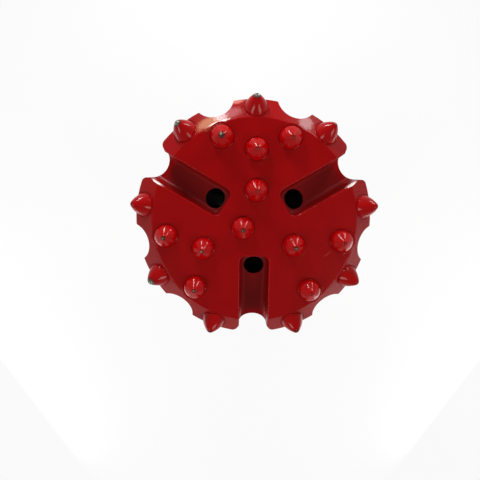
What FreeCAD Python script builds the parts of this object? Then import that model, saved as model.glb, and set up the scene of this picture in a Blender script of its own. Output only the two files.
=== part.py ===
"""Button drill bit for a top hammer, cutting a 152 mm (6 inch) hole.

One steel body, turned and milled, carries twenty pressed-in carbide buttons: nine round the
gauge chamfer and eleven on the flat face.  The body stands on its skirt end, which is z = 0,
with its axis on Z and its face up.  Angles run counter-clockwise about Z from +X.
"""
import FreeCAD, Part
import math
import os

# ------------------------------------------------------------------ driving dimensions
# Millimetres and degrees.  Each one may be changed by itself.

# Body
gauge_diameter = 152.4         # hole that is cut: across the tips of the gauge buttons
overall_length = 165.0         # skirt end to face
gauge_step = 1.4               # steel of the head stands this far inside the gauge circle
chamfer_width = 12.1           # gauge chamfer, measured along the radius
chamfer_angle = 40.0           # gauge chamfer, below the plane of the face
head_length = 62.0             # face to the rear edge of the head
back_taper = 2.0               # head narrows towards its rear, each side
shoulder_angle = 52.0          # rear cone of the head, from the axis
skirt_diameter = 76.0
skirt_edge = 2.5               # chamfer round the skirt end
neck_fillet = 16.0             # skirt into the rear cone
rear_edge_radius = 4.0
gauge_edge_radius = 1.0
face_edge_radius = 1.5

# Threaded socket, bored to the root of its rope thread
socket_diameter = 51.4
socket_depth = 96.0
socket_mouth = 3.0             # entry chamfer
relief_diameter = 54.0         # run-out for the thread at the socket's bottom
relief_length = 20.0
relief_corner = 3.0
socket_cone_angle = 59.0       # bottom cone, from the axis

# Sectors of the head, one between each pair of flushing slots
sectors = 3
first_sector_angle = 90.0
gauge_spacing_angle = 38.27    # from one gauge button to the next in a sector

# Flutes down the side of the head
slot_flute_radius = 11.5
slot_flute_depth = 10.2        # below the head's largest radius
slot_flute_corner = 4.0
side_flute_radius = 12.6
side_flute_depth = 7.7
side_flute_corner = 1.2

# Flushing slots in the face, and the holes that feed them
slot_width = 18.0
slot_start = 21.3              # inner end wall, from the axis
slot_start_depth = 5.5
slot_fall_angle = 16.0         # floor drops towards the rim at this angle
slot_corner = 4.0              # cutter radius along the floor and up the end wall
slot_rim_radius = 0.8          # edge between a slot's walls and the face or chamfer
flush_diameter = 12.7
flush_from_end = 7.1           # centre of the hole's mouth, from the slot's end wall
flush_angle = 17.5             # hole leans inwards as it goes down

# Carbide buttons: a cylinder pressed in, with a rounded cone standing out
gauge_button_diameter = 14.5
gauge_button_height = 9.7
gauge_button_shank = 15.0
gauge_button_tip = 2.6         # radius of the nose
face_button_diameter = 13.0
face_button_height = 9.2
face_button_shank = 14.0
face_button_tip = 2.4
nose_angle = 45.0              # where the nose meets the flank, from the button's base plane
button_base_radius = 1.5       # flank into the cylinder
button_land = 0.3              # cylinder showing above the steel
button_foot = 0.8              # chamfer at the buried end
gauge_countersink = 1.2        # ring round each pocket's mouth
face_countersink = 0.7

# Places of the face buttons.  Angles are turns from the middle of the button's sector.
rim_button_inset = 7.7         # outer ring, in from the edge of the face
rim_button_angles = [(-22.0, 21.5), (-21.0, 18.0), (-20.5, 18.4)]
second_button_insets = [18.5, 27.1]            # next ones in, one each in two sectors
second_button_angles = [-0.6, -2.7]
inner_button_radii = [19.7, 8.0, 28.3]         # innermost, one in each sector
inner_button_angles = [-2.0, -5.0, 0.0]

# ------------------------------------------------------------------ worked-out places

Z_AXIS = FreeCAD.Vector(0, 0, 1)
margin = 5.0                                   # how far a cutter runs past what it cuts
same_place = 1e-5                              # two points nearer than this are one

head_radius = gauge_diameter / 2 - gauge_step
face_radius = head_radius - chamfer_width
chamfer_depth = chamfer_width * math.tan(math.radians(chamfer_angle))
z_gauge = overall_length - chamfer_depth       # largest diameter of the head
z_head_rear = overall_length - head_length
rear_radius = head_radius - (z_gauge - z_head_rear) * math.tan(math.radians(back_taper))
skirt_radius = skirt_diameter / 2
z_neck = z_head_rear - (rear_radius - skirt_radius) / math.tan(math.radians(shoulder_angle))

sector_step = 360.0 / sectors
sector_angles = [first_sector_angle + i * sector_step for i in range(sectors)]
slot_angles = [angle + sector_step / 2 for angle in sector_angles]
gauge_angles = [angle + turn for angle in sector_angles
                for turn in (-gauge_spacing_angle, 0.0, gauge_spacing_angle)]
side_flute_angles = [angle + turn for angle in sector_angles
                     for turn in (-gauge_spacing_angle / 2, gauge_spacing_angle / 2)]

# A gauge button leans out by the chamfer angle, and its nose touches the gauge circle.
nose_reach = (gauge_button_height - gauge_button_tip) * math.sin(math.radians(chamfer_angle))
gauge_seat_radius = gauge_diameter / 2 - gauge_button_tip - nose_reach
gauge_seat_depth = (gauge_seat_radius - face_radius) * math.tan(math.radians(chamfer_angle))

rim_button_radius = face_radius - rim_button_inset
face_seats = [(rim_button_radius, sector + turn)
              for sector, turns in zip(sector_angles, rim_button_angles) for turn in turns]
face_seats += [(face_radius - inset, sector + turn) for inset, sector, turn
               in zip(second_button_insets, sector_angles, second_button_angles)]
face_seats += [(radius, sector + turn) for radius, sector, turn
               in zip(inner_button_radii, sector_angles, inner_button_angles)]

flush_radius_at_mouth = slot_start + flush_from_end


# ------------------------------------------------------------------ helpers

def profile_face(corners):
    """Face in the XZ plane from corners (x, z, radius), each rounded by its own radius."""
    points = [FreeCAD.Vector(x, 0, z) for x, z, _ in corners]
    edges = []
    starts = []
    ends = []
    arcs = []
    for i, (_, _, radius) in enumerate(corners):
        here = points[i]
        back = (points[i - 1] - here).normalize()
        ahead = (points[(i + 1) % len(points)] - here).normalize()
        if radius == 0:
            starts.append(here)
            ends.append(here)
            arcs.append(None)
            continue
        half = back.getAngle(ahead) / 2
        setback = radius / math.tan(half)
        middle_way = (back + ahead).normalize()
        centre = here + middle_way * (radius / math.sin(half))
        starts.append(here + back * setback)
        ends.append(here + ahead * setback)
        arcs.append(Part.Arc(starts[-1], centre - middle_way * radius, ends[-1]).toShape())
    for i, arc in enumerate(arcs):
        if arc is not None:
            edges.append(arc)
        following = starts[(i + 1) % len(points)]
        edges.append(Part.LineSegment(ends[i], following).toShape())
    return Part.Face(Part.Wire(edges))


def turned(corners):
    """Solid of revolution about Z from corners (radius, z, rounding)."""
    return profile_face(corners).revolve(FreeCAD.Vector(0, 0, 0), Z_AXIS, 360)


def placed(shape, radius, angle, z, lean=0.0):
    """A copy of a shape made along Z, leant outwards, then put at a radius, angle and height."""
    copy = shape.copy()
    copy.rotate(FreeCAD.Vector(0, 0, 0), FreeCAD.Vector(0, 1, 0), lean)
    copy.translate(FreeCAD.Vector(radius, 0, z))
    copy.rotate(FreeCAD.Vector(0, 0, 0), Z_AXIS, angle)
    return copy


def on_skin(point, shape):
    """Whether a point lies on the surface of a solid."""
    return shape.Shells[0].distToShape(Part.Vertex(point))[0] < same_place


def edges_shared(body, first, second):
    """Edges of a body that lie on the skins of both of the solids it was made from."""
    found = []
    for edge in body.Edges:
        middle = edge.valueAt((edge.FirstParameter + edge.LastParameter) / 2)
        if on_skin(middle, first) and on_skin(middle, second):
            found.append(edge)
    return found


def turned_about_axis(point, angle):
    """A point of the plan, turned about Z."""
    return FreeCAD.Rotation(Z_AXIS, angle).multVec(point)


# ------------------------------------------------------------------ buttons

def button(diameter, height, shank, tip):
    """Carbide button along Z, with z = 0 at the surface of the steel that it stands on.

    The flank is one arc.  It leaves the cylinder over a small rounding and runs into the
    nose where the nose has turned by nose_angle, so the whole outline is smooth.
    """
    radius = diameter / 2
    turn = math.radians(nose_angle)
    nose_x = tip * math.cos(turn)
    nose_z = height - tip + tip * math.sin(turn)
    base_turn = 0.0
    for _ in range(12):
        flank_x = radius - button_base_radius * (1 - math.cos(base_turn))
        flank_z = button_land + button_base_radius * math.sin(base_turn)
        chord_turn = math.atan2(flank_x - nose_x, nose_z - flank_z)
        base_turn = 2 * chord_turn - turn
    chord = math.hypot(flank_x - nose_x, nose_z - flank_z)
    bulge = chord / 2 * math.tan((turn - base_turn) / 4)
    flank_middle = FreeCAD.Vector((flank_x + nose_x) / 2 + bulge * math.cos(chord_turn), 0,
                                  (flank_z + nose_z) / 2 + bulge * math.sin(chord_turn))
    half_base = base_turn / 2
    base_middle = FreeCAD.Vector(radius - button_base_radius * (1 - math.cos(half_base)), 0,
                                 button_land + button_base_radius * math.sin(half_base))
    half_nose = (turn + math.pi / 2) / 2
    nose_middle = FreeCAD.Vector(tip * math.cos(half_nose), 0,
                                 height - tip + tip * math.sin(half_nose))
    foot = FreeCAD.Vector(0, 0, -shank)
    foot_edge = FreeCAD.Vector(radius - button_foot, 0, -shank)
    wall_low = FreeCAD.Vector(radius, 0, -shank + button_foot)
    wall_high = FreeCAD.Vector(radius, 0, button_land)
    flank_low = FreeCAD.Vector(flank_x, 0, flank_z)
    flank_high = FreeCAD.Vector(nose_x, 0, nose_z)
    summit = FreeCAD.Vector(0, 0, height)
    outline = Part.Wire([
        Part.LineSegment(foot, foot_edge).toShape(),
        Part.LineSegment(foot_edge, wall_low).toShape(),
        Part.LineSegment(wall_low, wall_high).toShape(),
        Part.Arc(wall_high, base_middle, flank_low).toShape(),
        Part.Arc(flank_low, flank_middle, flank_high).toShape(),
        Part.Arc(flank_high, nose_middle, summit).toShape(),
        Part.LineSegment(summit, foot).toShape(),
    ])
    return Part.Face(outline).revolve(FreeCAD.Vector(0, 0, 0), Z_AXIS, 360)


def gauge_buttons():
    """Nine buttons square to the gauge chamfer."""
    shape = button(gauge_button_diameter, gauge_button_height, gauge_button_shank,
                   gauge_button_tip)
    z = overall_length - gauge_seat_depth
    return [placed(shape, gauge_seat_radius, angle, z, chamfer_angle) for angle in gauge_angles]


def face_buttons():
    """Eleven buttons square to the face."""
    shape = button(face_button_diameter, face_button_height, face_button_shank,
                   face_button_tip)
    return [placed(shape, radius, angle, overall_length) for radius, angle in face_seats]


def pocket(diameter, shank, countersink):
    """Cutter for one button's hole, with a countersunk mouth at z = 0."""
    radius = diameter / 2
    return turned([(0, -shank, 0), (radius, -shank, 0), (radius, -countersink, 0),
                   (radius + countersink + margin, margin, 0), (0, margin, 0)])


def pockets():
    """Cutters for all the button holes."""
    gauge = pocket(gauge_button_diameter, gauge_button_shank, gauge_countersink)
    face = pocket(face_button_diameter, face_button_shank, face_countersink)
    z_gauge_seat = overall_length - gauge_seat_depth
    cutters = [placed(gauge, gauge_seat_radius, angle, z_gauge_seat, chamfer_angle)
               for angle in gauge_angles]
    cutters += [placed(face, radius, angle, overall_length) for radius, angle in face_seats]
    return cutters


# ------------------------------------------------------------------ body

def turned_blank():
    """Outside of the body before it is fluted: skirt, rear cone, head, chamfer and face."""
    return turned([
        (0, 0, 0),
        (skirt_radius - skirt_edge, 0, 0),
        (skirt_radius, skirt_edge, 0),
        (skirt_radius, z_neck, neck_fillet),
        (rear_radius, z_head_rear, rear_edge_radius),
        (head_radius, z_gauge, gauge_edge_radius),
        (face_radius, overall_length, face_edge_radius),
        (0, overall_length, 0),
    ])


def flute_points(arc_radius, depth, corner):
    """Points of one flute in plan, on +X, from its -Y lip to its +Y lip.

    The flute is an arc whose centre is on +X.  A convex corner arc joins it to the head's
    circle on each side and is tangent to both.
    """
    centre = head_radius - depth + arc_radius
    inner = head_radius - corner
    reach = arc_radius + corner
    x = (inner ** 2 - reach ** 2 + centre ** 2) / (2 * centre)
    y = math.sqrt(inner ** 2 - x ** 2)
    corner_centre = FreeCAD.Vector(x, y, 0)
    flute_centre = FreeCAD.Vector(centre, 0, 0)
    lip = corner_centre * (head_radius / inner)
    join = flute_centre + (corner_centre - flute_centre) * (arc_radius / reach)
    outward = (lip - corner_centre).normalize() + (join - corner_centre).normalize()
    bend = corner_centre + outward.normalize() * corner
    upper = [FreeCAD.Vector(head_radius - depth, 0, 0), join, bend, lip]
    lower = [FreeCAD.Vector(p.x, -p.y, 0) for p in reversed(upper[1:])]
    return lower + upper


def fluted_prism():
    """The head's lobed plan, extruded over the whole length of the body."""
    flutes = [(angle, slot_flute_radius, slot_flute_depth, slot_flute_corner)
              for angle in slot_angles]
    flutes += [(angle, side_flute_radius, side_flute_depth, side_flute_corner)
               for angle in side_flute_angles]
    flutes.sort(key=lambda flute: flute[0] % 360)
    runs = []
    for angle, arc_radius, depth, corner in flutes:
        points = flute_points(arc_radius, depth, corner)
        runs.append((angle, [turned_about_axis(point, angle) for point in points]))
    edges = []
    for i, (angle, points) in enumerate(runs):
        for first in (0, 2, 4):
            edges.append(Part.Arc(*points[first:first + 3]).toShape())
        next_angle, next_points = runs[(i + 1) % len(runs)]
        step = (next_angle - angle) % 360
        crest = turned_about_axis(FreeCAD.Vector(head_radius, 0, 0), angle + step / 2)
        edges.append(Part.Arc(points[-1], crest, next_points[0]).toShape())
    plan = Part.Face(Part.Wire(edges))
    plan.translate(FreeCAD.Vector(0, 0, -margin))
    return plan.extrude(FreeCAD.Vector(0, 0, overall_length + 2 * margin))


def slot_floor_depth(radius):
    """How far the slot's floor lies below the face, at a distance from the axis."""
    return slot_start_depth + (radius - slot_start) * math.tan(math.radians(slot_fall_angle))


def slot_cutter():
    """Flushing slot along +X: an end wall, a falling floor, and rounded inside corners."""
    end = head_radius + margin
    z_top = overall_length + margin
    side = Part.makePolygon([
        FreeCAD.Vector(slot_start, -slot_width / 2, z_top),
        FreeCAD.Vector(slot_start, -slot_width / 2, overall_length - slot_start_depth),
        FreeCAD.Vector(end, -slot_width / 2, overall_length - slot_floor_depth(end)),
        FreeCAD.Vector(end, -slot_width / 2, z_top),
        FreeCAD.Vector(slot_start, -slot_width / 2, z_top),
    ])
    block = Part.Face(side).extrude(FreeCAD.Vector(0, slot_width, 0))
    rounded = []
    for edge in block.Edges:
        middle = edge.CenterOfMass
        below_top = middle.z < z_top - same_place
        if below_top and middle.x < end - same_place:
            rounded.append(edge)
    return block.makeFillet(slot_corner, rounded)


def flush_cutter():
    """Water hole from a slot's floor down and inwards to the bottom of the socket."""
    z_mouth = overall_length - slot_floor_depth(flush_radius_at_mouth)
    lean = math.radians(flush_angle)
    length = (z_mouth - socket_depth) / math.cos(lean) + 2 * margin
    hole = Part.makeCylinder(flush_diameter / 2, length, FreeCAD.Vector(0, 0, margin - length))
    return placed(hole, flush_radius_at_mouth, 0, z_mouth, flush_angle)


def socket_cutter():
    """Blind bore for the rod, open at the skirt end, with a wider relief at its bottom."""
    radius = socket_diameter / 2
    relief_radius = relief_diameter / 2
    step = relief_radius - radius
    z_relief = socket_depth - relief_length
    point = relief_radius / math.tan(math.radians(socket_cone_angle))
    return turned([(0, -margin, 0), (radius + socket_mouth + margin, -margin, 0),
                   (radius, socket_mouth, 0), (radius, z_relief, 0),
                   (relief_radius, z_relief + step, 0),
                   (relief_radius, socket_depth, relief_corner),
                   (0, socket_depth + point, 0)])


def bit_body():
    """The steel body with its flutes, slots, water holes, socket and button pockets."""
    blank = turned_blank()
    slots = [placed(slot_cutter(), 0, angle, 0) for angle in slot_angles]
    head = blank.common(fluted_prism()).cut(slots).Solids[0]
    rims = [edge for slot in slots for edge in edges_shared(head, blank, slot)]
    head = head.makeFillet(slot_rim_radius, rims)
    cutters = [placed(flush_cutter(), 0, angle, 0) for angle in slot_angles]
    cutters.append(socket_cutter())
    cutters += pockets()
    return head.cut(cutters)


# ------------------------------------------------------------------ export

def solid_of(shape):
    """The one solid in a shape."""
    if len(shape.Solids) != 1 or not shape.isValid():
        raise ValueError("expected one sound solid, got %d" % len(shape.Solids))
    return shape.Solids[0]


def main():
    nodes = {"bit_body": bit_body()}
    for i, shape in enumerate(gauge_buttons(), start=1):
        nodes["gauge_button_%d" % i] = shape
    for i, shape in enumerate(face_buttons(), start=1):
        nodes["face_button_%d" % i] = shape
    os.makedirs("parts", exist_ok=True)
    for name, shape in nodes.items():
        solid_of(shape).exportStep("parts/%s.step" % name)


main()
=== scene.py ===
"""Button drill bit: the painted bit body, its twenty pressed-in buttons and the rope thread inside the rod socket.

The packed model is the frame. The body and the gauge buttons keep their own shapes and get their finishes here. Each
face button is replaced by a turned and painted one, a bead of paint is laid round each gauge button, and the rope
thread is made as a lining of the socket. The last operator sets up the floor, the lights and the camera. Lengths are
in metres in the row frame: Z up, the skirt's end on the floor and the face of the head at the top.
"""

import math

import bpy
import numpy as np
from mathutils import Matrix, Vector


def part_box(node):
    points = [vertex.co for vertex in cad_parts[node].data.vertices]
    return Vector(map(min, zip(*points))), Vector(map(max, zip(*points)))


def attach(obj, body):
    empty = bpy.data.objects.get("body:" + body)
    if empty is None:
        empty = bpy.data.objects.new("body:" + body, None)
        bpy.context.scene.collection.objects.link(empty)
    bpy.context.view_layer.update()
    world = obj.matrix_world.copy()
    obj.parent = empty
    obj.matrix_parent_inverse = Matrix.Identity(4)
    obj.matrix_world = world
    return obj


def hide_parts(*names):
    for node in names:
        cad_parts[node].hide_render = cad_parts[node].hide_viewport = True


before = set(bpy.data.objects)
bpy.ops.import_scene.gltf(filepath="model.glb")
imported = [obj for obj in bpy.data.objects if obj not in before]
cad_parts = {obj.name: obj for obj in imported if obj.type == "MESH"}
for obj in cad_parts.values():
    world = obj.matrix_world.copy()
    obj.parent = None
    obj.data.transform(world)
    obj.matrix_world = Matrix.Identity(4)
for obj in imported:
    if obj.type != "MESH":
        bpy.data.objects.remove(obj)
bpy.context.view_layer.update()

bl_info = {
    "name": "Button drill bit",
    "version": (1, 0, 0),
    "blender": (4, 5, 0),
    "location": "3D View > Sidebar > Drill bit",
    "description": "Finishes of a threaded button drill bit, its rope thread and a plain studio",
    "category": "Object",
}

MM = 0.001
GAUGE_TILT = math.radians(40.0)

# Places on the body where one finish meets another, in metres: heights from the skirt's end, radii from the axis.
SLOT_SHADE_TOP, SLOT_SHADE_RADIUS = 0.163, 0.0615  # painted shade: darker paint in the slots, and on the neck and skirt
SLOT_START, SLOT_TOP, SLOT_FALL = 0.0213, 0.1595, 0.2867  # where a slot's floor starts, and how it falls
HOLE_RADIUS, HOLE_FOOT = 0.045, 0.095  # the flushing holes lie inside this radius and over this height
SOCKET_RADIUS, SOCKET_TOP = 0.028, 0.099  # the bare socket
FOOT_START, FOOT_END = 0.0065, 0.0068  # from a face button's axis: where its paint goes over to the body's
CREST_RADIUS = 0.02405  # the thread is worn bright inside this radius

# Painted shade: the near-black laid inside the deep flushing holes.
HOLE_PAINTED_SHADE = (0.004, 0.003, 0.003, 1.0)
SCORCHED = (0.045, 0.010, 0.005, 1.0)
PHOSPHATE = (0.05, 0.048, 0.045, 1.0)
GREASE = (0.03, 0.026, 0.02, 1.0)

# Darkest and lightest share of a paint's colour as it wanders over a piece.
BODY_SHADES = (0.86, 1.12)
FACE_BUTTON_SHADES = (0.88, 1.1)
GAUGE_BUTTON_SHADES = (0.74, 0.92)

BODY_ROUGHNESS = (0.30, 0.42)
BODY_GLOSS = {"IOR": 1.45, "Specular_IOR_Level": 0.08, "Coat_Weight": 0.13, "Coat_Roughness": 0.06, "Coat_IOR": 1.35}
BUTTON_GLOSS = {"IOR": 1.45, "Specular_IOR_Level": 0.03, "Coat_Weight": 0.46, "Coat_Roughness": 0.03, "Coat_IOR": 1.38}

AROUND = 96  # points round a turned piece

# The air's grey at the horizon and overhead, as it lights the bit and as it is seen.
AIR_LIGHT = (0.55, 0.25)
AIR_SEEN = (0.62, 0.3)

# The lights, in metres. The strips and the low lights stand round the bit at azimuths in degrees. Each strip has its
# share of the power and two halves, each with the height of its middle and its length.
HEAD_MIDDLE = (0.0, 0.0, 0.16)
KEY_LIGHTS = (("left", -0.60), ("right", 0.60))
KEY_FRONT, KEY_HEIGHT, KEY_SIZE = -0.45, 0.92, (0.3, 0.5)
STRIP_LIGHTS = (("left", 109.0, 1.0), ("right", 58.0, 0.5))
STRIP_HALVES = (("lower", 0.196, 0.062), ("upper", 0.281, 0.060))
STRIP_DISTANCE, STRIP_WIDTH = 0.32, 0.045
LOW_LIGHTS = (("left", 212.0), ("right", 328.0))
LOW_DISTANCE, LOW_HEIGHT, LOW_SIZE = 0.33, 0.035, (0.3, 0.06)
LOW_AIM = (0.0, 0.0, 0.15)

FLOOR_POINTS, FLOOR_DROP = 9, 0.0002  # points along a side, and how far it lies under the skirt's end

CAMERA_LENS = 28.79
CAMERA_SHIFT = (-0.0083, -0.0178)
CAMERA_PLACE = (-0.01281, 0.02972, 0.39831)
CAMERA_TURN = (-8.6207, -1.4207, 0.6624)  # degrees

# Wear at each button's tip, in mm: radius of the scorched paint and how dark it is from 0 to 1, then the radius of
# the bare carbide and how far it sits off the tip, in x and y for a face button and down and across for a gauge one.
# The bare carbide also carries a painted glint: it is set off the tip where the glint falls and flecked with light.
TIP_WEAR = {
    "face_button_1": (1.6, 0.5, 0.0, 0.0, 0.0),
    "face_button_2": (2.1, 1.0, 0.8, -0.5, 0.7),
    "face_button_3": (1.5, 0.95, 0.55, -0.5, -0.2),
    "face_button_4": (1.4, 0.85, 0.5, 0.0, 0.0),
    "face_button_5": (1.3, 0.4, 0.0, 0.0, 0.0),
    "face_button_6": (1.3, 0.6, 0.0, 0.0, 0.0),
    "face_button_7": (1.5, 0.5, 0.0, 0.0, 0.0),
    "face_button_8": (1.3, 0.8, 0.5, -0.4, -0.3),
    "face_button_9": (1.3, 0.5, 0.0, 0.0, 0.0),
    "face_button_10": (1.6, 0.85, 0.4, -0.3, -0.5),
    "face_button_11": (1.5, 0.95, 0.6, 0.1, -0.5),
    "gauge_button_1": (1.4, 0.5, 0.0, 0.0, 0.0),
    "gauge_button_2": (2.6, 0.9, 2.3, 0.4, 0.0),
    "gauge_button_3": (2.9, 0.9, 2.6, 0.5, 0.6),
    "gauge_button_4": (1.3, 0.4, 0.0, 0.0, 0.0),
    "gauge_button_5": (3.4, 0.9, 3.0, 0.2, 1.0),
    "gauge_button_6": (1.8, 0.6, 0.0, 0.0, 0.0),
    "gauge_button_7": (1.6, 0.7, 0.5, -1.6, 0.0),
    "gauge_button_8": (1.5, 0.5, 0.0, 0.0, 0.0),
    "gauge_button_9": (1.2, 0.3, 0.0, 0.0, 0.0),
}

# Worn places on the body and painted highlights, in mm: middle, half sizes, turn about the upright axis in degrees,
# how strongly the patch covers the paint from 0 to 1, and the colour that shows there. The scuff and the scratch are
# worn paint; the pale patches on the upper chamfer are worn paint lightened as a painted sheen; the whitish strips
# along the slot rims and the flute's edge are painted highlights of the rounded edges.
WORN_AND_HIGHLIGHTED = {
    "flute_110_scuff": ((-27.0, 60.0, 162.4), (9.5, 4.6, 3.5), 24.0, 0.85, (0.50, 0.19, 0.10)),
    "flute_110_wear_and_sheen": ((-20.5, 62.6, 162.2), (3.6, 2.6, 3.0), 18.0, 0.9, (0.62, 0.36, 0.38)),
    "flute_110_edge_highlight": ((-22.1, 59.4, 164.5), (6.0, 0.75, 1.2), 20.5, 1.0, (0.95, 0.80, 0.74)),
    "flute_100_wear_and_sheen": ((-14.5, 65.5, 161.0), (6.0, 3.4, 4.0), 12.0, 0.45, (0.50, 0.16, 0.17)),
    "flute_100_corner_wear_and_sheen": ((-12.1, 73.0, 155.6), (4.4, 1.7, 2.6), 9.0, 0.9, (0.62, 0.18, 0.15)),
    "flute_70_wear_and_sheen": ((30.2, 60.3, 161.0), (4.2, 5.2, 4.5), -26.5, 0.75, (0.50, 0.26, 0.26)),
    "slot_150_rim_highlight": ((-60.4, 24.4, 163.2), (4.4, 0.7, 4.2), 149.0, 1.0, (1.0, 0.90, 0.86)),
    "slot_30_rim_highlight": ((60.4, 24.4, 163.2), (4.8, 0.7, 4.2), 31.0, 1.0, (1.0, 0.90, 0.86)),
    "face_scratch": ((45.6, -19.5, 165.0), (2.6, 0.35, 0.6), 40.0, 0.5, (0.42, 0.05, 0.05)),
}


# ---------------------------------------------------------------- sizes and colours


class BitFinish(bpy.types.PropertyGroup):
    """Colours and wear of the painted steel and of the carbide, with painted shade, highlights and glints."""

    body_paint: bpy.props.FloatVectorProperty(
        name="Body paint",
        description="Colour of the gloss paint on the bit body",
        subtype="COLOR",
        size=3,
        min=0.0,
        max=1.0,
        default=(0.29, 0.0008, 0.0014),
    )
    # Partly painted light: the buttons' red is kept brighter than the body's to stand for the light their slopes catch.
    button_paint: bpy.props.FloatVectorProperty(
        name="Button paint",
        description="Colour of the thinner, brighter paint on the buttons",
        subtype="COLOR",
        size=3,
        min=0.0,
        max=1.0,
        default=(0.40, 0.0006, 0.0012),
    )
    # Painted shade: a darker red laid over the recessed slots, which also reaches the neck and skirt below the head.
    slot_painted_shade: bpy.props.FloatVectorProperty(
        name="Slot painted shade",
        description="Colour of the dulled paint on the floors of the flushing slots",
        subtype="COLOR",
        size=3,
        min=0.0,
        max=1.0,
        default=(0.2, 0.004, 0.004),
    )
    carbide: bpy.props.FloatVectorProperty(
        name="Carbide",
        description="Colour of the bare tungsten carbide at a worn tip",
        subtype="COLOR",
        size=3,
        min=0.0,
        max=1.0,
        default=(0.055, 0.066, 0.048),
    )
    # Lighter than the gauge tips' carbide, partly as a painted glint on the face buttons' small worn tips.
    face_tip_carbide_and_glint: bpy.props.FloatVectorProperty(
        name="Face tip carbide and glint",
        description="Colour of the small worn tips of the face buttons",
        subtype="COLOR",
        size=3,
        min=0.0,
        max=1.0,
        default=(0.17, 0.12, 0.085),
    )
    # Painted glint: light flecks mixed into the bare carbide stand for the light it catches.
    carbide_glint: bpy.props.FloatVectorProperty(
        name="Carbide glint",
        description="Colour of the carbide where it is rubbed bright",
        subtype="COLOR",
        size=3,
        min=0.0,
        max=1.0,
        default=(0.62, 0.54, 0.46),
    )
    bare_steel: bpy.props.FloatVectorProperty(
        name="Bare steel",
        description="Colour of the unpainted steel in the socket",
        subtype="COLOR",
        size=3,
        min=0.0,
        max=1.0,
        default=(0.22, 0.21, 0.20),
    )
    edge_round: bpy.props.FloatProperty(
        name="Edge rounding",
        description="Radius that the paint film gives to the machined edges",
        subtype="DISTANCE",
        unit="LENGTH",
        default=0.5 * MM,
    )


class FaceButton(bpy.types.PropertyGroup):
    """Sizes of a painted face button and of the paint round its foot."""

    radius: bpy.props.FloatProperty(
        name="Radius",
        description="Radius of the button where it stands in the face",
        subtype="DISTANCE",
        unit="LENGTH",
        default=6.5 * MM,
    )
    height: bpy.props.FloatProperty(
        name="Height",
        description="Height of the button's tip above the face",
        subtype="DISTANCE",
        unit="LENGTH",
        default=9.2 * MM,
    )
    tip_radius: bpy.props.FloatProperty(
        name="Tip radius",
        description="Radius of the round tip",
        subtype="DISTANCE",
        unit="LENGTH",
        default=2.4 * MM,
    )
    shank: bpy.props.FloatProperty(
        name="Shank",
        description="Length pressed into the steel",
        subtype="DISTANCE",
        unit="LENGTH",
        default=14.0 * MM,
    )
    groove: bpy.props.FloatProperty(
        name="Groove depth",
        description="Depth left in the groove round the foot once the paint has run into it",
        subtype="DISTANCE",
        unit="LENGTH",
        default=0.28 * MM,
    )


class GaugeBead(bpy.types.PropertyGroup):
    """Sizes of the paint bead round each gauge button."""

    radius: bpy.props.FloatProperty(
        name="Radius",
        description="Radius of the gauge button where it stands in the chamfer",
        subtype="DISTANCE",
        unit="LENGTH",
        default=7.25 * MM,
    )
    groove: bpy.props.FloatProperty(
        name="Groove depth",
        description="Depth left in the groove round the button once the paint has run into it",
        subtype="DISTANCE",
        unit="LENGTH",
        default=0.3 * MM,
    )
    width: bpy.props.FloatProperty(
        name="Width",
        description="Width of the bead against a face button's",
        subtype="FACTOR",
        default=0.95,
    )
    seat_radius: bpy.props.FloatProperty(
        name="Seat radius",
        description="How far the middle of the seat is from the bit's axis",
        subtype="DISTANCE",
        unit="LENGTH",
        default=69.04 * MM,
    )
    seat_height: bpy.props.FloatProperty(
        name="Seat height",
        description="Height of the middle of the seat",
        subtype="DISTANCE",
        unit="LENGTH",
        default=159.68 * MM,
    )
    to_face: bpy.props.FloatProperty(
        name="To the face",
        description="Slant length from the middle of the seat in to the edge of the face",
        subtype="DISTANCE",
        unit="LENGTH",
        default=8.1 * MM,
    )
    to_side: bpy.props.FloatProperty(
        name="To the side",
        description="Slant length from the middle of the seat out to the side of the head",
        subtype="DISTANCE",
        unit="LENGTH",
        default=7.2 * MM,
    )
    cone_radius: bpy.props.FloatProperty(
        name="Cone radius",
        description="Radius of the chamfer's curve across its slope",
        subtype="DISTANCE",
        unit="LENGTH",
        default=107.4 * MM,
    )


class RopeThread(bpy.types.PropertyGroup):
    """Sizes of the left-hand rope thread that lines the rod socket."""

    wall_radius: bpy.props.FloatProperty(
        name="Wall radius",
        description="Radius of the socket's wall behind the thread",
        subtype="DISTANCE",
        unit="LENGTH",
        default=25.7 * MM,
    )
    pitch: bpy.props.FloatProperty(
        name="Pitch",
        description="Height climbed in one turn",
        subtype="DISTANCE",
        unit="LENGTH",
        default=12.7 * MM,
    )
    ridge_height: bpy.props.FloatProperty(
        name="Ridge height",
        description="How far the rounded ridges stand in from the wall",
        subtype="DISTANCE",
        unit="LENGTH",
        default=2.4 * MM,
    )
    first_height: bpy.props.FloatProperty(
        name="Start",
        description="Height at which the thread starts above the skirt's end",
        subtype="DISTANCE",
        unit="LENGTH",
        default=3.0 * MM,
    )
    last_height: bpy.props.FloatProperty(
        name="End",
        description="Height at which the thread runs out below the relief groove",
        subtype="DISTANCE",
        unit="LENGTH",
        default=76.0 * MM,
    )
    run_out: bpy.props.FloatProperty(
        name="Run-out",
        description="Length over which the ridges fade at each end",
        subtype="DISTANCE",
        unit="LENGTH",
        default=7.0 * MM,
    )


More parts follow.
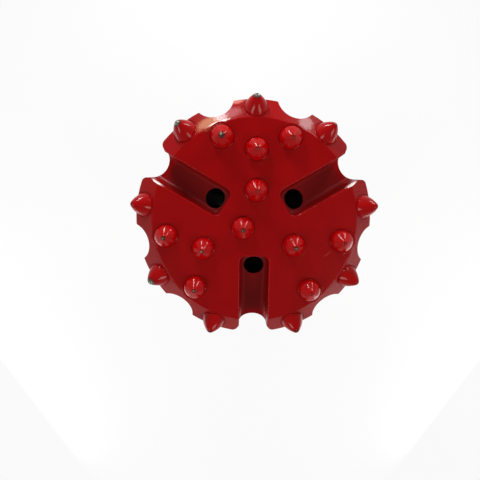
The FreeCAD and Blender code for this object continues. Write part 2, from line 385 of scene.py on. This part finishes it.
class Studio(bpy.types.PropertyGroup):
    """The plain floor, the soft lights and the camera."""

    floor_size: bpy.props.FloatProperty(
        name="Floor size",
        description="Side of the square floor",
        subtype="DISTANCE",
        unit="LENGTH",
        default=14.0,
    )
    floor_colour: bpy.props.FloatVectorProperty(
        name="Floor colour",
        description="Colour of the plain pale floor",
        subtype="COLOR",
        size=3,
        min=0.0,
        max=1.0,
        default=(0.92, 0.92, 0.92),
    )
    key_power: bpy.props.FloatProperty(
        name="Overhead lights",
        description="Power of each of the two soft lights above the bit",
        subtype="POWER",
        unit="POWER",
        default=3.1,
    )
    strip_power: bpy.props.FloatProperty(
        name="Strip lights",
        description="Power of the stronger of the two narrow upright lights behind the bit",
        subtype="POWER",
        unit="POWER",
        default=0.72,
    )
    low_power: bpy.props.FloatProperty(
        name="Low lights",
        description="Power of each of the two low soft lights in front of the bit",
        subtype="POWER",
        unit="POWER",
        default=0.22,
    )


SETTINGS = {
    "bit_finish": BitFinish,
    "face_button": FaceButton,
    "gauge_bead": GaugeBead,
    "rope_thread": RopeThread,
    "bit_studio": Studio,
}


# ---------------------------------------------------------------- meshes


def nodes_called(start):
    """Names of the frame's nodes that start with these words, in order."""
    return sorted(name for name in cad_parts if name.startswith(start))


def surface_grid(rows, columns, close_columns=False):
    """Faces of a grid of rows x columns points, row after row. A closed grid joins its last column to its first."""
    across = columns if close_columns else columns - 1
    row, column = np.meshgrid(np.arange(rows - 1), np.arange(across), indexing="ij")
    following = (column + 1) % columns
    corners = (
        row * columns + column,
        row * columns + following,
        (row + 1) * columns + following,
        (row + 1) * columns + column,
    )
    return np.stack(corners, axis=-1).reshape(-1, 4)


def turned_faces(rings, around):
    """Faces of a turned solid whose points are its top pole, its rings from the top down, and its bottom pole."""
    quads = surface_grid(rings, around, close_columns=True)[:, ::-1] + 1
    spot = np.arange(around)
    following = (spot + 1) % around
    last = 1 + (rings - 1) * around
    top = np.stack([np.zeros_like(spot), spot + 1, following + 1], axis=-1)
    bottom = np.stack([np.full_like(spot, last + around), last + following, last + spot], axis=-1)
    return quads.tolist() + top.tolist() + bottom.tolist()


def follow(first_slope, table, count):
    """How far out and how far down an outline goes, at points spread evenly along it.

    The slope, in degrees, is a straight-line table over the length run along the outline: each row of the table holds
    a length and the slope at its end. The two results are the sums of the slope's cosine and sine.
    """
    steps = np.cumsum([0.0] + [length for length, _ in table])
    fine = np.linspace(0.0, steps[-1], count)
    slope = np.radians(np.interp(fine, steps, [first_slope] + [angle for _, angle in table]))
    middle = (slope[1:] + slope[:-1]) / 2
    along = np.diff(fine)
    return [np.concatenate([[0.0], np.cumsum(part(middle) * along)]) for part in (np.cos, np.sin)]


def paint_outline(radius, groove, width):
    """Radius and height of the paint that runs from a button's wall through the groove round it and over the steel.

    Both are the sums along a table of slopes. groove is the lowest point's depth, and width stretches the outline.
    """
    table = ((0.60, 22.0), (0.30, 0.0), (0.40, -28.0), (0.25, -28.0), (0.40, 0.0), (0.60, 14.0))
    out, down = follow(90.0, [(length * width * MM, angle) for length, angle in table], 28)
    return radius + out, down.max() - down - groove


def face_button_outline(size):
    """Radius, height over the face and looseness of the paint along a face button's outline, from tip to shank.

    Radius and height are the sums along a table of slopes: a round tip, a long cone of about 45 degrees, a rounded
    shoulder and an upright wall. The paint then runs from the wall through the groove and up over the face.
    """
    tip, radius = size.tip_radius, size.radius
    cone = (
        (tip * math.radians(42.5), 42.5),
        (0.71 * radius, 46.0),
        (0.31 * radius, 54.0),
        (0.155 * radius, 90.0),
    )
    nose_r, nose_down = follow(0.0, cone, 160)
    nose_r *= radius / nose_r[-1]

    foot_r, foot_z = paint_outline(radius, size.groove, 1.0)
    wall_z = np.linspace(size.height - nose_down[-1], foot_z[0], 8)[1:-1]
    buried_r = np.array([foot_r[-1] - 0.3 * MM, radius, radius, radius - 0.8 * MM])
    buried_z = np.array([-0.5 * MM, -0.9 * MM, 0.8 * MM - size.shank, -size.shank])
    r = np.concatenate([nose_r[1:], np.full_like(wall_z, radius), foot_r, buried_r])
    z = np.concatenate([size.height - nose_down[1:], wall_z, foot_z, buried_z])
    firm = np.zeros(len(nose_r) - 1 + len(wall_z))
    loose = np.concatenate([firm, np.linspace(0.0, 1.0, len(foot_r)), [1.0, 0.0, 0.0, 0.0]])
    return r, z, loose


def mesh_piece(name, points, faces, material):
    """An object at the origin whose mesh holds the points and the faces, shaded smooth."""
    mesh = bpy.data.meshes.new(name)
    mesh.from_pydata(points.reshape(-1, 3), [], faces)
    mesh.polygons.foreach_set("use_smooth", np.ones(len(mesh.polygons), dtype=bool))
    mesh.materials.append(material)
    mesh.validate()
    mesh.update()
    piece = bpy.data.objects.new(name, mesh)
    bpy.context.scene.collection.objects.link(piece)
    return piece


# ---------------------------------------------------------------- shader nodes


def wire(tree, kind, sockets=None, **settings):
    """Adds one node. sockets gives each input, by name or number, a value or another node's output."""
    node = tree.nodes.new(kind)
    for key, value in settings.items():
        setattr(node, key, value)
    for key, value in (sockets or {}).items():
        if isinstance(value, bpy.types.NodeSocket):
            tree.links.new(value, node.inputs[key])
        else:
            node.inputs[key].default_value = value
    return node


def calc(tree, operation, first, second):
    """One sum on numbers, such as ADD or MULTIPLY."""
    return wire(tree, "ShaderNodeMath", {0: first, 1: second}, operation=operation).outputs[0]


def fade(tree, value, start, end):
    """A number that goes smoothly from 0 at start to 1 at end. start may be the larger."""
    sockets = {"Value": value, "From Min": start, "From Max": end}
    return wire(tree, "ShaderNodeMapRange", sockets, interpolation_type="SMOOTHSTEP").outputs[0]


def under(tree, value, limit, soft):
    """1 where the value is under the limit and 0 where it is over it, going over smoothly within the given width."""
    return fade(tree, value, limit + soft / 2, limit - soft / 2)


def blend_colours(tree, share, first, second):
    """The first colour where share is 0 and the second where it is 1."""
    sockets = {0: share, 6: first, 7: second}
    return wire(tree, "ShaderNodeMix", sockets, data_type="RGBA").outputs[2]


def blend_numbers(tree, share, first, second):
    """The first number where share is 0 and the second where it is 1."""
    return wire(tree, "ShaderNodeMix", {0: share, 2: first, 3: second}, data_type="FLOAT").outputs[0]


def grain(tree, place, scale, detail=2.0, roughness=0.5):
    """Noise from 0 to 1 with the given number of lumps a metre."""
    sockets = {"Vector": place, "Scale": scale, "Detail": detail, "Roughness": roughness}
    return wire(tree, "ShaderNodeTexNoise", sockets).outputs[0]


def from_axis(tree, place):
    """Distance from the upright axis through the origin of the coordinates, and the height."""
    xyz = wire(tree, "ShaderNodeSeparateXYZ", {"Vector": place}).outputs
    level = wire(tree, "ShaderNodeCombineXYZ", {"X": xyz["X"], "Y": xyz["Y"]}).outputs[0]
    return wire(tree, "ShaderNodeVectorMath", {0: level}, operation="LENGTH").outputs["Value"], xyz["Z"]


def ripple(tree, height, strength, **sockets):
    """A normal with fine bumps of at most a tenth of a millimetre."""
    names = {"Strength": strength, "Distance": 0.1 * MM, "Height": height, **sockets}
    return wire(tree, "ShaderNodeBump", names).outputs[0]


def patch(tree, place, centre, radii, wander, turn=0.0, ragged=0.9, edge=0.35):
    """1 inside an egg-shaped patch about a point and 0 outside it, turned about the upright by degrees.

    wander makes its edge ragged. Lengths are in mm.
    """
    sockets = {
        "Vector": place,
        "Location": [c * MM for c in centre],
        "Rotation": (0.0, 0.0, math.radians(turn)),
        "Scale": [r * MM for r in radii],
    }
    local = wire(tree, "ShaderNodeMapping", sockets, vector_type="TEXTURE").outputs[0]
    reach = wire(tree, "ShaderNodeVectorMath", {0: local}, operation="LENGTH").outputs["Value"]
    uneven = calc(tree, "MULTIPLY", calc(tree, "SUBTRACT", wander, 0.5), 2.0 * ragged)
    return fade(tree, calc(tree, "ADD", reach, uneven), 1.0 + edge, 1.0 - edge)


def colour(rgb):
    """A colour with full cover, as a socket takes it."""
    return (*rgb, 1.0)


def cloudy(tree, clouds, paint, shades):
    """A paint whose colour wanders softly between a darker and a lighter share of itself."""
    return blend_colours(tree, clouds, *(colour([c * share for c in paint]) for share in shades))


def new_material(name):
    """A material with an empty node tree, and its Object coordinates."""
    material = bpy.data.materials.new(name)
    material.use_nodes = True
    tree = material.node_tree
    tree.nodes.clear()
    place = wire(tree, "ShaderNodeTexCoord").outputs["Object"]
    return material, tree, place


def close_material(tree, **sockets):
    """The surface shader of a finished material, joined to its output."""
    names = {key.replace("_", " "): value for key, value in sockets.items()}
    shader = wire(tree, "ShaderNodeBsdfPrincipled", names)
    wire(tree, "ShaderNodeOutputMaterial", {"Surface": shader.outputs[0]})


def body_material(finish):
    """Gloss paint, bare in the socket; painted shade in slots, skirt and holes; wear and painted highlights."""
    material, tree, place = new_material("bit_body_paint")
    radius, height = from_axis(tree, place)

    clouds = grain(tree, place, 45.0, 4.0)
    paint = cloudy(tree, clouds, finish.body_paint, BODY_SHADES)
    # Painted shade: the paint is darker within this radius and under this height.
    slot_shade_mask = calc(tree, "MULTIPLY", under(tree, height, SLOT_SHADE_TOP, 2.4 * MM), under(tree, radius, SLOT_SHADE_RADIUS, 2.0 * MM))
    paint = blend_colours(tree, slot_shade_mask, paint, colour(finish.slot_painted_shade))

    # Painted shade: below the slots' floors the flushing holes are painted near-black.
    fallen = calc(tree, "MULTIPLY", calc(tree, "SUBTRACT", radius, SLOT_START), SLOT_FALL)
    over_floor = calc(tree, "SUBTRACT", height, calc(tree, "SUBTRACT", SLOT_TOP, fallen))
    in_hole = calc(
        tree, "MULTIPLY", under(tree, over_floor, -0.6 * MM, 0.6 * MM), under(tree, radius, HOLE_RADIUS, 2.0 * MM)
    )
    in_hole = calc(tree, "MULTIPLY", in_hole, under(tree, height, HOLE_FOOT, -2.0 * MM))
    in_socket = calc(
        tree, "MULTIPLY", under(tree, radius, SOCKET_RADIUS, 0.8 * MM), under(tree, height, SOCKET_TOP, 2.0 * MM)
    )
    base = blend_colours(tree, in_hole, paint, HOLE_PAINTED_SHADE)
    base = blend_colours(tree, in_socket, base, colour(finish.bare_steel))

    streaks = grain(tree, place, 1100.0, 4.0, 0.7)
    dull = calc(tree, "MAXIMUM", in_hole, in_socket)
    # Painted highlights and sheen: the whitish rim strips and pale chamfer patches stand for light on the edges; the
    # rest is wear.
    for centre, radii, turn, coverage, shade in WORN_AND_HIGHLIGHTED.values():
        share = calc(tree, "MULTIPLY", patch(tree, place, centre, radii, streaks, turn), coverage)
        base = blend_colours(tree, share, base, colour(shade))
        dull = calc(tree, "MAXIMUM", dull, share)

    rounded = wire(tree, "ShaderNodeBevel", {"Radius": finish.edge_round}, samples=6).outputs[0]
    bump = ripple(tree, grain(tree, place, 420.0, 2.0), 0.25, Normal=rounded)
    close_material(
        tree,
        Base_Color=base,
        Metallic=calc(tree, "MULTIPLY", in_socket, 0.8),
        Roughness=blend_numbers(tree, dull, blend_numbers(tree, clouds, *BODY_ROUGHNESS), 0.5),
        Normal=bump,
        Coat_Normal=bump,
        **BODY_GLOSS,
    )
    return material


def button_material(button, points, finish):
    """Gloss paint over the button with these points, scorched about its tip and worn through to the carbide.

    The bare carbide carries a painted glint: it is flecked with light and set where the glint falls.
    """
    middle = (points.min(axis=0) + points.max(axis=0)) / 2
    gauge = button.startswith("gauge")
    swing = math.atan2(middle[1], middle[0]) if gauge else 0.0
    tilt = GAUGE_TILT if gauge else 0.0
    axis = np.array([math.sin(tilt) * math.cos(swing), math.sin(tilt) * math.sin(swing), math.cos(tilt)])
    tip = points[(points @ axis).argmax()]
    scorch_radius, scorch, bare_radius, off_x, off_y = TIP_WEAR[button]

    material, tree, place = new_material(button + "_paint")
    sockets = {"Vector": place, "Location": tip, "Rotation": (0.0, tilt, swing)}
    local = wire(tree, "ShaderNodeMapping", sockets, vector_type="TEXTURE").outputs[0]
    clouds = grain(tree, place, 120.0, 3.0)
    paint = cloudy(tree, clouds, finish.button_paint, GAUGE_BUTTON_SHADES if gauge else FACE_BUTTON_SHADES)
    foot = 0.0 if gauge else fade(tree, from_axis(tree, local)[0], FOOT_START, FOOT_END)
    paint = blend_colours(tree, foot, paint, colour(finish.body_paint))
    flecks = grain(tree, place, 1300.0, 3.0, 0.6)
    stain = (off_x * 0.5, off_y * 0.5, 0.0)
    scorched = patch(tree, local, stain, [scorch_radius] * 3, flecks, ragged=0.35, edge=0.3)
    base = blend_colours(tree, calc(tree, "MULTIPLY", scorched, scorch), paint, SCORCHED)
    worn = 0.0
    # Painted glint: the bare carbide is set off the tip where the glint falls and flecked with a light colour.
    if bare_radius:
        worn = patch(tree, local, (off_x, off_y, 0.0), [bare_radius] * 3, flecks, ragged=0.5, edge=0.2)
        dull = finish.carbide if gauge else finish.face_tip_carbide_and_glint
        carbide_and_glints = blend_colours(tree, fade(tree, flecks, 0.5, 0.66), colour(dull), colour(finish.carbide_glint))
        base = blend_colours(tree, worn, base, carbide_and_glints)
    close_material(
        tree,
        Base_Color=base,
        Metallic=calc(tree, "MULTIPLY", worn, 0.25),
        Roughness=blend_numbers(tree, worn, 0.3, 0.38),
        Normal=ripple(tree, grain(tree, place, 320.0), 0.06),
        **BUTTON_GLOSS,
    )
    return material


def bead_material(finish):
    """The plain gloss paint of the body, as it lies in a bead: no holes, bare places or dirt."""
    material, tree, place = new_material("paint_bead")
    clouds = grain(tree, place, 45.0, 4.0)
    close_material(
        tree,
        Base_Color=cloudy(tree, clouds, finish.body_paint, BODY_SHADES),
        Roughness=blend_numbers(tree, clouds, *BODY_ROUGHNESS),
        Normal=ripple(tree, grain(tree, place, 420.0), 0.25),
        **BODY_GLOSS,
    )
    return material


def thread_material(finish):
    """Phosphated and greased steel: dark in the roots, worn brighter on the crests."""
    material, tree, place = new_material("rope_thread_steel")
    crest = under(tree, from_axis(tree, place)[0], CREST_RADIUS, 1.5 * MM)
    smears = grain(tree, place, 160.0, 4.0)
    steel = blend_colours(tree, crest, PHOSPHATE, colour(finish.bare_steel))
    steel = blend_colours(tree, fade(tree, smears, 0.45, 0.7), steel, GREASE)
    close_material(
        tree,
        Base_Color=steel,
        Metallic=0.85,
        Roughness=blend_numbers(tree, smears, 0.3, 0.6),
        Normal=ripple(tree, grain(tree, place, 900.0), 0.3),
    )
    return material


def seen_ray(tree):
    """1 for a ray from the eye or from a reflection or a clear body, and 0 for one that only carries light."""
    path = wire(tree, "ShaderNodeLightPath").outputs
    seen = calc(tree, "MAXIMUM", path["Is Camera Ray"], path["Is Glossy Ray"])
    return calc(tree, "MAXIMUM", seen, path["Is Transmission Ray"])


def floor_material(studio):
    """A plain pale floor that keeps the shadow, and that shows white to the eye and in reflections."""
    material, tree, place = new_material("studio_floor")
    pale = wire(tree, "ShaderNodeBsdfDiffuse", {"Color": colour(studio.floor_colour)}).outputs[0]
    white = wire(tree, "ShaderNodeEmission", {"Strength": 1.0}).outputs[0]
    away = wire(tree, "ShaderNodeVectorMath", {0: place}, operation="LENGTH").outputs["Value"]
    share = calc(tree, "MULTIPLY", seen_ray(tree), blend_numbers(tree, fade(tree, away, 0.5, 3.0), 0.85, 1.0))
    mixed = wire(tree, "ShaderNodeMixShader", {0: share, 1: pale, 2: white}).outputs[0]
    wire(tree, "ShaderNodeOutputMaterial", {"Surface": mixed})
    return material


# ---------------------------------------------------------------- operators


class BODY_OT_finish(bpy.types.Operator):
    """Paints the bit body"""

    bl_idname = "drill_bit.finish_body"
    bl_label = "Paint the body"

    def execute(self, context):
        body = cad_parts["bit_body"]
        body.data.materials.clear()
        body.data.materials.append(body_material(context.scene.bit_finish))
        return {"FINISHED"}


class FACE_BUTTONS_OT_form(bpy.types.Operator):
    """Forms the painted face buttons"""

    bl_idname = "drill_bit.form_face_buttons"
    bl_label = "Form the face buttons"

    def execute(self, context):
        """A turned outline about each button's axis, its paint's edge wandering by sines of 3, 5 and 8 turns."""
        size = context.scene.face_button
        turn = np.linspace(0.0, 2 * math.pi, AROUND, endpoint=False)
        r, z, loose = face_button_outline(size)
        for order, name in enumerate(nodes_called("face_button")):
            low, high = (np.array(corner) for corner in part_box(name))
            centre = (low + high) / 2
            face = high[2] - size.height
            wander = 0.5 * np.sin(3 * turn + order) + 0.3 * np.sin(5 * turn + 2.3 * order) + 0.2 * np.sin(8 * turn)
            rings = r[:, None] + 0.18 * MM * loose[:, None] * wander
            lift = z[:, None] + 0.03 * MM * loose[:, None] * (1 - loose[:, None]) * wander
            x, y = centre[0] + rings * np.cos(turn), centre[1] + rings * np.sin(turn)
            points = np.stack([x, y, face + lift], axis=-1).reshape(-1, 3)
            top = [[centre[0], centre[1], high[2]]]
            bottom = [[centre[0], centre[1], face - size.shank]]
            points = np.concatenate([top, points, bottom])
            paint = button_material(name, points, context.scene.bit_finish)
            piece = mesh_piece(name + "_painted", points, turned_faces(len(r), AROUND), paint)
            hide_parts(name)
            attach(piece, "root")
        return {"FINISHED"}


class GAUGE_BUTTONS_OT_finish(bpy.types.Operator):
    """Paints the gauge buttons and wears their tips"""

    bl_idname = "drill_bit.finish_gauge_buttons"
    bl_label = "Paint the gauge buttons"

    def execute(self, context):
        for name in nodes_called("gauge_button"):
            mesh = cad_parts[name].data
            points = np.empty(len(mesh.vertices) * 3)
            mesh.vertices.foreach_get("co", points)
            mesh.materials.clear()
            mesh.materials.append(button_material(name, points.reshape(-1, 3), context.scene.bit_finish))
        return {"FINISHED"}


class PAINT_OT_bead(bpy.types.Operator):
    """Runs a bead of paint into the groove round each gauge button"""

    bl_idname = "drill_bit.bead_gauge_buttons"
    bl_label = "Bead the gauge buttons"

    def execute(self, context):
        """The paint's outline turned about the button's axis, and let down on to the chamfer, face and side."""
        size = context.scene.gauge_bead
        r, z = paint_outline(size.radius, size.groove, size.width)
        r = np.concatenate([r, [r[-1] - 0.3 * MM, size.radius - 0.4 * MM, size.radius - 0.4 * MM]])
        z = np.concatenate([z, [-1.0 * MM, -1.6 * MM, z[0]]])
        section, turn = np.meshgrid(np.arange(len(r)), np.linspace(0.0, 2 * math.pi, AROUND, endpoint=False))
        ring, spot = np.meshgrid(np.arange(AROUND), np.arange(len(r)), indexing="ij")
        next_ring, next_spot = (ring + 1) % AROUND, (spot + 1) % len(r)
        corners = [ring * len(r) + spot, ring * len(r) + next_spot]
        corners += [next_ring * len(r) + next_spot, next_ring * len(r) + spot]
        faces = np.stack(corners, axis=-1).reshape(-1, 4).tolist()
        paint = bead_material(context.scene.bit_finish)
        for order, name in enumerate(nodes_called("gauge_button")):
            low, high = (np.array(corner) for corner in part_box(name))
            middle = (low + high) / 2
            swing = math.atan2(middle[1], middle[0])
            wander = 0.6 * np.sin(3 * turn + 1.7 * order) + 0.4 * np.sin(7 * turn + order)
            loose = np.clip((r[section] - size.radius) / (1.5 * MM), 0.0, 1.0)
            rings = r[section] + 0.15 * MM * loose * wander
            x, y = rings * np.cos(turn), rings * np.sin(turn)
            over_edge = np.maximum(0.0, x - size.to_side) * math.tan(math.pi / 2 - GAUGE_TILT)
            over_face = np.maximum(0.0, -x - size.to_face) * math.tan(GAUGE_TILT)
            # Away from the face the bead sinks into the steel.
            sink = np.clip((x - 4.0 * MM) / (2.5 * MM), 0.0, 1.0) * 0.8 * MM
            up = z[section] - y * y / (2 * size.cone_radius) - over_edge - over_face - sink
            out = size.seat_radius + x * math.cos(GAUGE_TILT) + up * math.sin(GAUGE_TILT)
            rise = size.seat_height - x * math.sin(GAUGE_TILT) + up * math.cos(GAUGE_TILT)
            east = out * math.cos(swing) - y * math.sin(swing)
            north = out * math.sin(swing) + y * math.cos(swing)
            points = np.stack([east, north, rise], axis=-1)
            bead = mesh_piece("paint_bead_" + name, points, faces, paint)
            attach(bead, "root")
        return {"FINISHED"}


class THREAD_OT_cut(bpy.types.Operator):
    """Lines the rod socket with its left-hand rope thread"""

    bl_idname = "drill_bit.cut_thread"
    bl_label = "Cut the rope thread"

    def execute(self, context):
        """Radius = wall - ridge height x (1 + cos(turn + 2 pi height / pitch)) / 2, faded at both ends."""
        size = context.scene.rope_thread
        around, along = 144, 180
        turn = np.linspace(0.0, 2 * math.pi, around, endpoint=False)
        height = np.linspace(size.first_height, size.last_height, along)
        turn, height = np.meshgrid(turn, height)
        wave = (1 + np.cos(turn + 2 * math.pi * height / size.pitch)) / 2
        from_end = np.minimum(height - size.first_height, size.last_height - height)
        share = np.clip(from_end / size.run_out, 0.0, 1.0)
        fading = share * share * (3 - 2 * share)
        inner = size.wall_radius - 0.05 * MM - size.ridge_height * wave * fading
        outer = np.full_like(inner, size.wall_radius + 0.3 * MM)
        rings = np.concatenate([inner, outer[::-1][:: along - 1]])
        heights = np.concatenate([height, height[::-1][:: along - 1]])
        turns = np.concatenate([turn, turn[::-1][:: along - 1]])
        points = np.stack([rings * np.cos(turns), rings * np.sin(turns), heights], axis=-1)
        faces = surface_grid(along + 2, around, close_columns=True)
        lid = surface_grid(2, around, close_columns=True)
        lid = np.where(lid < around, lid + (along + 1) * around, lid - around)
        faces = np.concatenate([faces, lid])[:, ::-1]
        thread = mesh_piece("rope_thread", points, faces.tolist(), thread_material(context.scene.bit_finish))
        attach(thread, "root")
        return {"FINISHED"}


def round_the_bit(azimuth, away, height):
    """The point at an azimuth in degrees, a distance from the bit's axis and a height."""
    return away * math.cos(math.radians(azimuth)), away * math.sin(math.radians(azimuth)), height


def softbox(name, at, aim, size, power):
    """A soft rectangular light of the given width and height in metres, turned towards a point."""
    lamp = bpy.data.lights.new(name, "AREA")
    lamp.shape = "RECTANGLE"
    lamp.size, lamp.size_y = size
    lamp.energy = power
    light = bpy.data.objects.new(name, lamp)
    light.location = at
    light.rotation_euler = (Vector(aim) - Vector(at)).to_track_quat("-Z", "Y").to_euler()
    light.visible_camera = False
    bpy.context.scene.collection.objects.link(light)


class STUDIO_OT_set(bpy.types.Operator):
    """Sets up the plain floor, the soft lights and the camera"""

    bl_idname = "drill_bit.set_studio"
    bl_label = "Set up the studio"

    def execute(self, context):
        scene = context.scene
        studio = scene.bit_studio
        half = studio.floor_size / 2
        across = np.linspace(-half, half, FLOOR_POINTS)
        x, y = np.meshgrid(across, across)
        points = np.stack([x, y, np.full_like(x, -FLOOR_DROP)], axis=-1)
        faces = surface_grid(FLOOR_POINTS, FLOOR_POINTS).tolist()
        floor = mesh_piece("studio_floor", points, faces, floor_material(studio))

        world = bpy.data.worlds.new("studio_air")
        world.use_nodes = True
        tree = world.node_tree
        tree.nodes.clear()
        direction = wire(tree, "ShaderNodeTexCoord").outputs["Generated"]
        upward = wire(tree, "ShaderNodeSeparateXYZ", {"Vector": direction}).outputs["Z"]
        soft = blend_colours(tree, fade(tree, upward, 0.0, 0.9), *(colour([grey] * 3) for grey in AIR_LIGHT))
        pale = blend_colours(tree, fade(tree, upward, 0.0, 0.75), *(colour([grey] * 3) for grey in AIR_SEEN))
        air = blend_colours(tree, seen_ray(tree), soft, pale)
        sky = wire(tree, "ShaderNodeBackground", {"Color": air, "Strength": 1.0}).outputs[0]
        wire(tree, "ShaderNodeOutputWorld", {"Surface": sky})
        scene.world = world

        for side, sideways in KEY_LIGHTS:
            at = (sideways, KEY_FRONT, KEY_HEIGHT)
            softbox(f"key_light_{side}", at, HEAD_MIDDLE, KEY_SIZE, studio.key_power)
        strip = sum(tall for _, _, tall in STRIP_HALVES)
        for side, azimuth, share in STRIP_LIGHTS:
            for part, height, tall in STRIP_HALVES:
                power = studio.strip_power * share * tall / strip
                at = round_the_bit(azimuth, STRIP_DISTANCE, height)
                softbox(f"strip_light_{side}_{part}", at, (0.0, 0.0, height), (STRIP_WIDTH, tall), power)
        for side, azimuth in LOW_LIGHTS:
            at = round_the_bit(azimuth, LOW_DISTANCE, LOW_HEIGHT)
            softbox(f"low_light_{side}", at, LOW_AIM, LOW_SIZE, studio.low_power)

        lens = bpy.data.cameras.new("camera")
        lens.lens = CAMERA_LENS
        lens.sensor_width = 36.0
        lens.shift_x, lens.shift_y = CAMERA_SHIFT
        lens.clip_start = 0.01
        lens.clip_end = 50.0
        camera = bpy.data.objects.new("camera", lens)
        camera.location = CAMERA_PLACE
        camera.rotation_euler = [math.radians(a) for a in CAMERA_TURN]
        scene.collection.objects.link(camera)
        scene.camera = camera
        scene.view_settings.view_transform = "Standard"
        return {"FINISHED"}


class DRILLBIT_PT_panel(bpy.types.Panel):
    """Sizes, colours and building steps of the drill bit"""

    bl_label = "Button drill bit"
    bl_idname = "DRILLBIT_PT_panel"
    bl_space_type = "VIEW_3D"
    bl_region_type = "UI"
    bl_category = "Drill bit"

    def draw(self, context):
        layout = self.layout
        for operator in OPERATORS:
            layout.operator(operator.bl_idname)
        for setting, group in SETTINGS.items():
            box = layout.box()
            box.label(text=group.__doc__)
            for name in group.__annotations__:
                box.prop(getattr(context.scene, setting), name)


OPERATORS = (BODY_OT_finish, FACE_BUTTONS_OT_form, GAUGE_BUTTONS_OT_finish, PAINT_OT_bead, THREAD_OT_cut, STUDIO_OT_set)
CLASSES = (*SETTINGS.values(), *OPERATORS, DRILLBIT_PT_panel)


def register():
    """Adds the classes, and the settings to every scene."""
    for cls in CLASSES:
        bpy.utils.register_class(cls)
    for setting, group in SETTINGS.items():
        setattr(bpy.types.Scene, setting, bpy.props.PointerProperty(type=group))


def unregister():
    """Takes the settings and the classes away again."""
    for setting in SETTINGS:
        delattr(bpy.types.Scene, setting)
    for cls in reversed(CLASSES):
        bpy.utils.unregister_class(cls)


def main():
    """Builds everything in order."""
    register()
    bpy.ops.drill_bit.finish_body()
    bpy.ops.drill_bit.form_face_buttons()
    bpy.ops.drill_bit.finish_gauge_buttons()
    bpy.ops.drill_bit.bead_gauge_buttons()
    bpy.ops.drill_bit.cut_thread()
    bpy.ops.drill_bit.set_studio()


if __name__ == "__main__":
    main()
